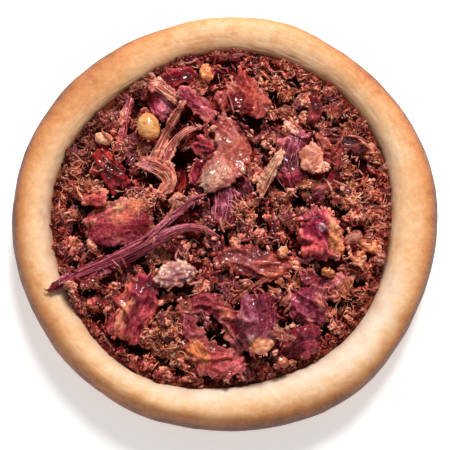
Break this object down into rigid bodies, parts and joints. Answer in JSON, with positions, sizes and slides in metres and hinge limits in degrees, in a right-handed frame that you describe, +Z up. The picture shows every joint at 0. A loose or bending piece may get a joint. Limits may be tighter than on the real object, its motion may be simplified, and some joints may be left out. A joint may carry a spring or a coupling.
{
  "type": "open-faced sfiha",
  "caption": "Round open-faced bread with a raised puffed rim, filled with crumbled and shredded cured beef, with torn beef, fat and onion on top.",
  "frame": {"origin": "centre of the flat underside of the bread, on the surface it lies on", "axes": "+Z up out of the filling; -Y towards the viewer of the picture, whose left is -X"},
  "size_m": [0.1206, 0.1194, 0.0237],
  "materials": {
    "bread": "baked dough, pale gold with a browned shoulder, matt",
    "mince": "crumbled cured beef, moist",
    "dark_beef": "dark cured beef, wet sheen",
    "plum_beef": "plum-coloured cured beef with long fibres, wet sheen",
    "red_beef": "red cured beef with long fibres, wet sheen",
    "pink_beef": "pink cured beef with orange edges, wet sheen",
    "onion": "amber cooked onion and crisp crumbs, oily",
    "tallow": "bubbly translucent fat, glossy",
    "fat": "pale yellow fat, oily"
  },
  "bodies": {
    "root": {"bread": "bread", "mince_heap": "mince", "dark_fold": "dark_beef", "upright_shred": "pink_beef", "crimson_lump": "dark_beef", "ribbed_lump": "plum_beef", "pink_strap": "pink_beef", "pink_bridge": "pink_beef", "plum_lump": "plum_beef", "plum_block": "plum_beef", "red_flake": "dark_beef", "striated_block": "plum_beef", "fan_sheet": "red_beef", "glazed_sheet": "pink_beef", "forked_shred": "pink_beef", "marbled_slab": "red_beef", "red_oval": "red_beef", "long_strip": "plum_beef", "upper_right_strand": "plum_beef", "right_strand": "plum_beef", "amber_flap": "onion", "purple_tuft": "plum_beef", "brown_curl": "red_beef", "onion_flap": "onion", "pale_spike": "pink_beef", "open_ring": "pink_beef", "rosy_lump": "red_beef", "glossy_membrane": "tallow", "ridged_slab": "plum_beef", "fat_cluster": "tallow", "torn_sheet": "red_beef", "fatty_slab": "plum_beef", "cracked_slab": "plum_beef", "folded_slab": "plum_beef", "onion_bead": "onion", "left_chip": "fat", "rusty_lump": "onion", "orange_chip": "onion", "ring_chip": "onion", "fat_wedge": "fat", "amber_chip": "onion", "clear_onion": "tallow", "small_chip": "onion", "orange_lump": "onion"}
  },
  "joints": []
}
